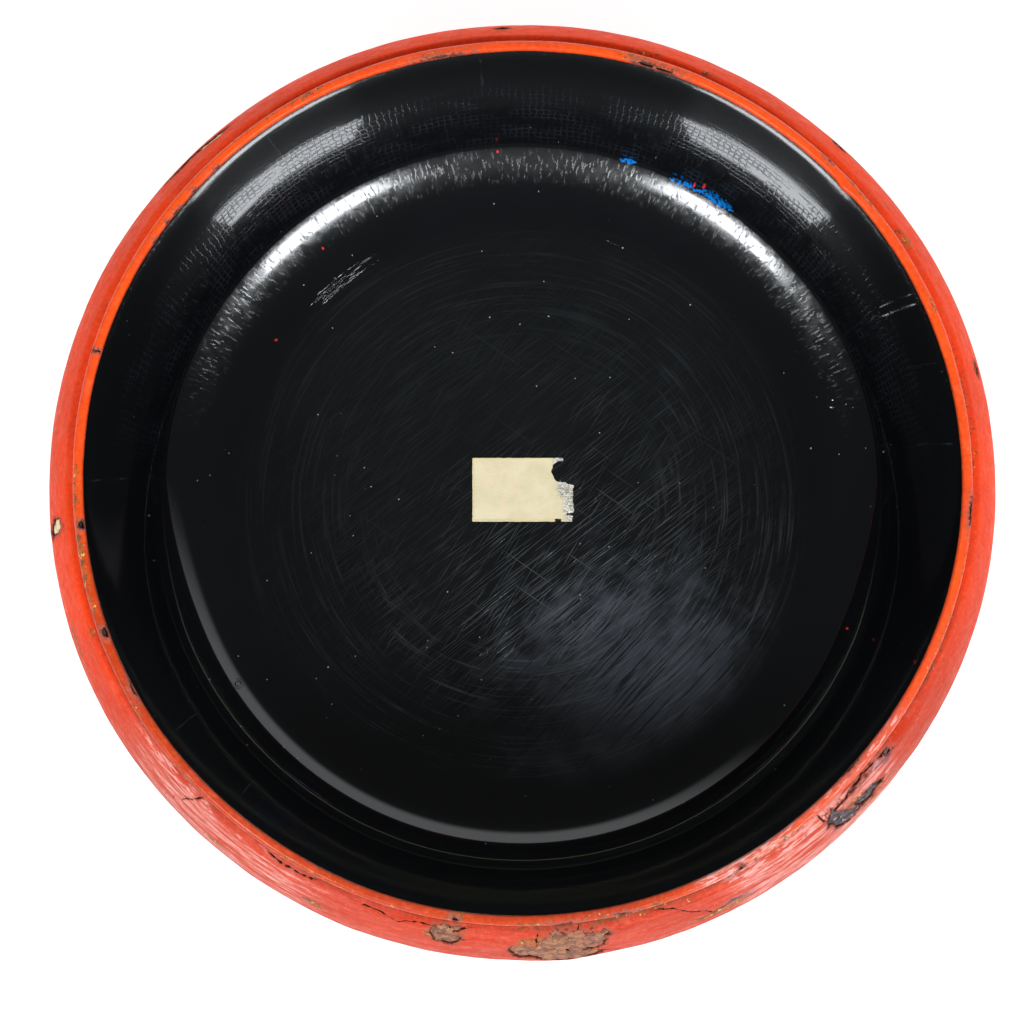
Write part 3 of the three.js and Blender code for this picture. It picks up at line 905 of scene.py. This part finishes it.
# Places on the lip are (angle, length along its section from the bottom of the skirt)
LIP_CHIPS = [
    (-98.4, 2.2, 0.45, 0.4, 0.4), (-151.0, 0.9, 0.9, 0.3, 0.0), (-159.4, 1.2, 0.8, 0.6, 0.0),
    (-173.8, 1.2, 0.6, 0.6, 0.0), (-196.9, 1.5, 0.14, 0.7, 0.15), (-213.3, 0.7, 0.14, 0.12, 0.0),
    (-216.3, 0.8, 0.14, 0.14, 0.0), (-218.3, 0.7, 0.2, 0.12, 0.0), (-221.7, 0.8, 0.22, 0.14, 0.0),
    (-225.9, 0.8, 0.2, 0.16, 0.0), (-286.5, 1.0, 1.2, 0.4, 0.0), (-289.0, 0.9, 1.5, 0.3, 0.0),
    (-259.5, 0.8, 1.3, 0.15, 0.0), (-4.5, 2.4, 1.3, 0.35, 0.0), (-41.6, 0.6, 1.4, 0.35, 0.0),
    (-84.5, 2.6, 1.2, 0.25, 0.0), (-77.0, 2.5, 0.9, 0.25, 0.0), (-61.0, 2.4, 0.45, 0.3, 0.0),
    (-313.7, 2.4, 0.25, 0.12, 0.0),
]
LIP_STAINS = [
    (-80.0, 2.4, 8.5, 0.55, 0.0), (-98.4, 1.8, 1.5, 1.4, 0.2), (-7.0, 2.5, 5.0, 0.35, 0.0),
    (-24.0, 2.6, 4.0, 0.4, 0.0), (-112.0, 2.6, 3.0, 0.3, 0.0), (-122.0, 2.5, 3.5, 0.35, 0.0),
    (-137.0, 2.6, 2.0, 0.3, 0.0), (-149.0, 2.5, 2.0, 0.3, 0.0), (-170.0, 2.2, 7.0, 0.5, 0.0),
    (-178.0, 2.0, 3.0, 0.4, 0.0), (-240.5, 2.3, 2.4, 0.4, 0.0), (-234.0, 2.5, 2.0, 0.3, 0.0),
    (-287.0, 1.5, 3.0, 0.6, 0.0), (-320.6, 2.4, 2.6, 0.3, 0.0), (-337.4, 2.4, 1.2, 0.4, 0.0),
    (-258.0, 1.4, 2.0, 0.3, 0.0), (-55.0, 2.6, 4.0, 0.3, 0.0),
]
lip_section = np.array([
    [MOUTH, HEIGHT - LIP_SKIRT],
    [MOUTH, HEIGHT - 0.3],
    [MOUTH + 0.3, HEIGHT],
    [LIP_EDGE - 0.45, HEIGHT],
    [LIP_EDGE, HEIGHT - 0.5],
    [LIP_EDGE, SEAT_Z],
])
lip_curve = spaced(eased(spaced(lip_section, even(0.08)), 8), even(0.15))
LIP_ANGLES = around(0.25, 0.42, [(-105, -55), (-15, 5), (-180, -135)])
lip = revolve(lip_curve, LIP_ANGLES)
lip_normal = outward(lip)
if lip_normal[len(lip_curve) // 3, 0, 2] < 0:
    lip_normal = -lip_normal
over_lip = np.repeat(np.r_[0, np.cumsum(np.hypot(*np.diff(lip_curve, axis=0).T))][:, None], len(LIP_ANGLES), 1)
lip_turn = np.degrees(np.arctan2(lip[..., 1], lip[..., 0]))
lip_lost = ragged(lip, spots(lip, over_lip, LIP_CHIPS), 0.14, 31)
lip_stain = ragged(lip, spots(lip, over_lip, LIP_STAINS), 0.5, 33)
lip_near = smooth(85, 50, np.abs(turn_between(lip_turn, -80)))
# painted sheen: pale patches on the lip where the lamps' reflection falls
lip_sheen = smooth(10, 6, np.abs(turn_between(lip_turn, -59.5)))
lip_sheen = np.maximum(lip_sheen, 0.7 * smooth(14, 9, np.abs(turn_between(lip_turn, -42))))
# painted shade on the lip's near left
lip_painted_shade = smooth(68, 40, np.abs(turn_between(lip_turn, -118)))
lip_uneven = 0.05 * noise(lip, 5.0, 6, 2) + (0.015 + 0.06 * lip_sheen) * noise(lip, 1.3, 7, 3)
lip_edges = 0.06 * np.exp(-np.abs(lip_lost + 0.25) / 0.3) * (lip_lost < 0)
bump_in = 0.35 * np.exp(-((turn_between(lip_turn, -317.6) / 1.1) ** 2)) * smooth(1.6, 0.8, over_lip)
lip_worn = lip + lip_normal * (lip_uneven + lip_edges + bump_in)[..., None]
lip_grime = smooth(2.5, 3.0, over_lip) * smooth(0.0, 0.5, noise(lip, 7, 12, 2)) * 0.7
turned_skin(
    "lip_coat", handmade(lip_worn), LOOKS["lip_vermilion"], ["lip_lacquer"], LACQUER * 0.9,
    {
        "lost": lip_lost, "crack": np.full(lip_lost.shape, 3.0), "grime": lip_grime, "stain": lip_stain,
        "smear": np.full(lip_lost.shape, -3.0), "haze_and_sheen": np.maximum(lip_near * 0.12, lip_sheen),
        "near_painted_shade": np.maximum(lip_painted_shade, lip_sheen * 0.7),
    },
    lip_lost,
)

# ---------------------------------------------------------------- the black inside

INSIDE_ANGLES = np.arange(0, 360, 1.0)
inside = inside_curve(lambda r, z: np.where(r < FLOOR_RADIUS - 2, 1.4, 0.8) - smooth(54, 58, z) * 0.4)
lining = revolve(inside, INSIDE_ANGLES)
lining_normal = -outward(lining)
if lining_normal[5, 0, 2] < 0:
    lining_normal = -lining_normal
from_axis = np.hypot(lining[..., 0], lining[..., 1])
soft = (0.03 * noise(lining, 22.0, 41, 1) + 0.004 * noise(lining, 6.0, 42, 1)) * smooth(1.0, 12.0, from_axis)
lining = lining + lining_normal * soft[..., None]
turned_skin(
    "black_lining", handmade(lining), LOOKS["black_lacquer"], ["inner_lacquer"], LACQUER,
    pole=True,
)

# ---------------------------------------------------------------- cloth, wood and foot, under the coats

ROUND = np.arange(0, 360, 1.5)
inner_wood_depth = LACQUER + GAP + CLOTH + GAP
outer_wood_depth = LACQUER + GAP + GROUND + GAP

cloth_curve = offset(inside_curve(even(1.5), JOINT_Z - GAP), LACQUER + GAP)
cove_end = int(np.argmin(np.abs(cloth_curve[0][:, 1] - COVE_TOP_Z)))
turned_skin(
    "floor_lining_cloth", handmade(revolve(tuple(c[: cove_end + 1] for c in cloth_curve), ROUND)),
    LOOKS["hemp_cloth"], ["floor_cloth"], CLOTH, pole=True,
)
bands = [c[cove_end:].copy() for c in cloth_curve]
for band in bands:
    band[0] += (band[1] - band[0]) * 0.1
turned_skin(
    "wall_lining_cloth", handmade(revolve(tuple(bands), ROUND)), LOOKS["hemp_cloth"],
    ["wall_cloth"], CLOTH,
)

wood_out = offset(outside, outer_wood_depth)
below = wood_out[wood_out[:, 1] < JOINT_Z - 0.05]
hoops = []
for face in offset(inside_curve(even(1.2), JOINT_Z), inner_wood_depth):
    face = face[face[:, 0] > FLOOR_RADIUS + 0.05]
    face = spaced(face, even(float(np.hypot(*np.diff(face, axis=0).T).sum()) / 60.001))
    hoops.append(np.r_[
        [[below[-1, 0], FOOT_HEIGHT]], below[::-1], [[below[0, 0] - 0.05, JOINT_Z]],
        [[face[-1, 0], JOINT_Z]], face[:-1][::-1], [[face[0, 0], FOOT_HEIGHT]],
    ])
turned_solid("wall_wood", tuple(hoops), ROUND, LOOKS["core_wood"], ["wall_hoop"])

lip_wood_radius = LIP_EDGE - LACQUER - GAP
above = wood_out[(wood_out[:, 1] > JOINT_Z + GAP) & (wood_out[:, 0] > lip_wood_radius + 0.3)]
shoulder = np.r_[above, [[lip_wood_radius + GAP, above[-1, 1]]], [[lip_wood_radius + GAP, above[0, 1]]]]
turned_solid("shoulder_wood", shoulder, ROUND, LOOKS["core_wood"], ["shoulder_hoop"])

lip_wood_top = HEIGHT - LACQUER - GAP
z = np.linspace(JOINT_Z + GAP, lip_wood_top, 8)
lip_wood_in = np.c_[MOUTH - (MOUTH - COVE_TOP_RADIUS) * ((HEIGHT - z) / (HEIGHT - COVE_TOP_Z)) ** 2 + LACQUER + GAP + 0.05, z]
lip_wood = spaced(np.r_[lip_wood_in, [[lip_wood_radius, lip_wood_top]], [[lip_wood_radius, z[0]]]], even(0.35))


def gnawed(grid):
    radius = np.hypot(grid[..., :1], grid[..., 1:2])
    inward = np.concatenate([-grid[..., :2] / radius, np.zeros_like(radius)], -1)
    dent = (0.08 + 0.08 * noise(grid, 0.9, 51, 2))[..., None] * (radius > lip_wood_radius - 0.1)
    return grid + inward * dent


turned_solid(
    "lip_wood", lip_wood, np.arange(0, 360, 0.75), LOOKS["lip_wood"], ["lip_hoop"], gnawed
)

board = np.array([[0, FOOT_HEIGHT], [FLOOR_RADIUS - GAP, FOOT_HEIGHT], [FLOOR_RADIUS - GAP, BOARD_TOP], [0, BOARD_TOP]])
turned_solid("board_wood", spaced(board, even(1.6)), ROUND, LOOKS["core_wood"], ["base_board"])

foot = np.array([
    [FOOT_INNER + FOOT_DRAFT, 0.0], [FOOT_OUTER - FOOT_DRAFT, 0.0],
    [FOOT_OUTER, FOOT_HEIGHT - GAP], [FOOT_INNER, FOOT_HEIGHT - GAP], [FOOT_INNER + FOOT_DRAFT, 0.0],
])
foot_curve = eased(spaced(foot, even(0.3)), 3)[:-1]
foot_curve[:, 1] = np.maximum(foot_curve[:, 1], 0)
turned_solid("foot_wood", foot_curve, np.arange(0, 360, 0.9), LOOKS["foot_wood"], ["foot_ring"])

under_top = FOOT_HEIGHT - GAP
under = np.array([
    [0, under_top - LACQUER], [FOOT_INNER - GAP, under_top - LACQUER], [FOOT_INNER - GAP, under_top], [0, under_top],
])
turned_solid(
    "under_coat", spaced(under, even(1.5)), ROUND, LOOKS["underside"], ["underside_lacquer"]
)

# ---------------------------------------------------------------- the torn label

LABEL_LOW, LABEL_HIGH = low("paper_label"), high("paper_label")
label_middle = (LABEL_LOW + LABEL_HIGH) / 2
half_x, half_y = (LABEL_HIGH - LABEL_LOW)[:2] / 2
step = 0.15
gx = np.arange(-half_x - 0.3, half_x + 0.3, step)
gy = np.arange(-half_y - 0.3, half_y + 0.3, step)
X, Y = np.meshgrid(gx, gy)
flat_points = np.stack([X, Y, np.zeros_like(X)], -1)


def hole(cx, cy, rx, ry):
    return (1 - np.sqrt(((X - cx) / rx) ** 2 + ((Y - cy) / ry) ** 2)) * min(rx, ry)


outline = np.maximum(np.abs(X) - half_x + 0.05, np.abs(Y) - half_y + 0.05)
outline = outline + 0.05 * noise(flat_points, 0.7, 61, 2)
torn_end = np.maximum(
    X - (half_x - 0.25) - 0.5 * noise(flat_points, 1.1, 62, 3),
    hole(half_x - 2.2, half_y - 2.3, 1.7, 1.75),
)
torn_end = np.maximum(torn_end, hole(half_x - 0.5, half_y - 2.6, 1.7, 1.9))
torn_end = np.maximum(torn_end, np.minimum(X - (half_x - 2.0), Y - (half_y - 1.4)))
torn_end = np.maximum(torn_end, hole(half_x - 2.8, -half_y + 0.3, 0.55, 0.3))
torn_end = np.maximum(torn_end, hole(half_x - 0.3, -half_y + 1.3, 0.9, 0.3))
torn_end = torn_end + 0.22 * noise(flat_points, 0.6, 63, 3)
label_lost = np.maximum(outline, torn_end)
skinned = smooth(half_x - 4.6, half_x - 3.2, X + 0.8 * noise(flat_points, 1.5, 64, 2) + 0.25 * (half_y - Y) * -1)
curl = 0.1 * smooth(0.6, 0, np.minimum(half_x - np.abs(X), half_y - np.abs(Y))) * (0.5 + 0.5 * noise(flat_points, 2.5, 66))
Z = LABEL_LOW[2] + 0.17 + 0.015 * noise(flat_points, 1.8, 65, 2) + curl - 0.05 * skinned
label = np.stack([X + label_middle[0], Y + label_middle[1], Z], -1)
rows, columns = X.shape
index = np.arange(rows * columns).reshape(rows, columns)
label_faces = [
    [int(index[i, j]), int(index[i, j + 1]), int(index[i + 1, j + 1]), int(index[i + 1, j])]
    for i in range(rows - 1)
    for j in range(columns - 1)
]
label_data = np.stack([outline.reshape(-1), skinned.reshape(-1)], -1)
label_points, label_faces, label_data = clip(label.reshape(-1, 3), label_faces, label_lost.reshape(-1), label_data)
make_piece(
    "torn_label", handmade(label_points), label_faces, {"rim": label_data[:, 0], "skinned": label_data[:, 1]},
    LOOKS["label_paper"], ["paper_label"], 0.15,
)

# ---------------------------------------------------------------- floor, light and camera

stage_mesh = bpy.data.meshes.new("table")
reach = 4.0
stage_mesh.from_pydata(
    [(-reach, -reach, -2e-5), (reach, -reach, -2e-5), (reach, reach, -2e-5), (-reach, reach, -2e-5)], [], [(0, 1, 2, 3)]
)
table = bpy.data.objects.new("table", stage_mesh)
bpy.context.scene.collection.objects.link(table)
white = bpy.data.materials.new("table_white")
white.use_nodes = True
white_shader = white.node_tree.nodes["Principled BSDF"]
white_shader.inputs["Base Color"].default_value = (0.3, 0.3, 0.3, 1)
white_shader.inputs["Roughness"].default_value = 0.9
white_shader.inputs["Emission Color"].default_value = (1, 1, 1, 1)
white_shader.inputs["Emission Strength"].default_value = 0.9
stage_mesh.materials.append(white)

scene = bpy.context.scene
world = bpy.data.worlds.new("studio")
scene.world = world
world.use_nodes = True
tree = world.node_tree
background = tree.nodes["Background"]


def sky(operation, a, b, c=0.0):
    node = tree.nodes.new("ShaderNodeMath")
    node.operation = operation
    for socket, value in zip(node.inputs, (a, b, c)):
        if isinstance(value, bpy.types.NodeSocket):
            tree.links.new(value, socket)
        else:
            socket.default_value = value
    return node.outputs[0]


def fade(value, start, end, to_low, to_high):
    node = tree.nodes.new("ShaderNodeMapRange")
    node.interpolation_type = "SMOOTHSTEP"
    tree.links.new(value, node.inputs["Value"])
    for name, number in (("From Min", start), ("From Max", end), ("To Min", to_low), ("To Max", to_high)):
        node.inputs[name].default_value = number
    return node.outputs["Result"]


coordinates = tree.nodes.new("ShaderNodeTexCoord")
split = tree.nodes.new("ShaderNodeSeparateXYZ")
tree.links.new(coordinates.outputs["Generated"], split.inputs[0])
X_WAY, Y_WAY, Z_WAY = split.outputs
# a white sweep rises behind the bowl, a dimmer wall stands in front, and the ceiling is dark
behind = sky("MULTIPLY_ADD", X_WAY, 0.36, Y_WAY)
sweep = sky("MULTIPLY", fade(Z_WAY, 0.56, 0.66, 1, 0), fade(behind, 0.4, 0.78, 0, 1))
front = sky("MULTIPLY", fade(Z_WAY, 0.78, 0.95, 1, 0), fade(Y_WAY, -0.2, -0.5, 0, 1))
front = sky("MULTIPLY", front, fade(Z_WAY, 0.55, 0.7, 0, 1))
low_band = fade(Z_WAY, 0.25, 0.4, 1, 0)
strength = sky("MULTIPLY_ADD", sweep, 1.4, 0.08)
strength = sky("MULTIPLY_ADD", front, 0.45, strength)
strength = sky("MULTIPLY_ADD", low_band, 0.4, strength)
tree.links.new(strength, background.inputs["Strength"])
background.inputs["Color"].default_value = (0.95, 0.98, 1.0, 1)


def soft_box(name, azimuth, elevation, distance, size, power, tint=(0.92, 0.96, 1)):
    data = bpy.data.lights.new(name, "AREA")
    data.shape = "RECTANGLE"
    data.size, data.size_y = size
    data.energy = power
    data.color = tint
    lamp = bpy.data.objects.new(name, data)
    a, e = math.radians(azimuth), math.radians(elevation)
    lamp.location = (
        distance * math.cos(e) * math.cos(a), distance * math.cos(e) * math.sin(a), distance * math.sin(e)
    )
    aim = Vector((0, 0, HEIGHT * MM)) - lamp.location
    lamp.rotation_euler = aim.to_track_quat("-Z", "Y").to_euler()
    scene.collection.objects.link(lamp)
    return lamp


soft_box("right_softbox", -51.1, 50.5, 0.9, (0.26, 0.17), 5.8)
soft_box("left_softbox", -129.0, 50.5, 0.9, (0.25, 0.17), 5.4)

CAMERA_DISTANCE = 0.450  # from the middle of the mouth
CAMERA_TILT = math.radians(4.5)  # off the vertical, towards the near side
camera_data = bpy.data.cameras.new("camera")
camera_data.sensor_width = 36
camera_data.lens = 106.3
camera = bpy.data.objects.new("camera", camera_data)
mouth = Vector((0, 0, HEIGHT * MM))
camera.location = mouth + CAMERA_DISTANCE * Vector((0, -math.sin(CAMERA_TILT), math.cos(CAMERA_TILT)))
aim = mouth + Vector((-0.0014, -0.0051, 0))
ahead = (aim - camera.location).normalized()
right = ahead.cross(Vector((0, 1, 0))).normalized()
camera.rotation_euler = Matrix((right, right.cross(ahead), -ahead)).transposed().to_euler()
camera_data.clip_start = 0.01
scene.collection.objects.link(camera)
scene.camera = camera

scene.view_settings.view_transform = "Standard"
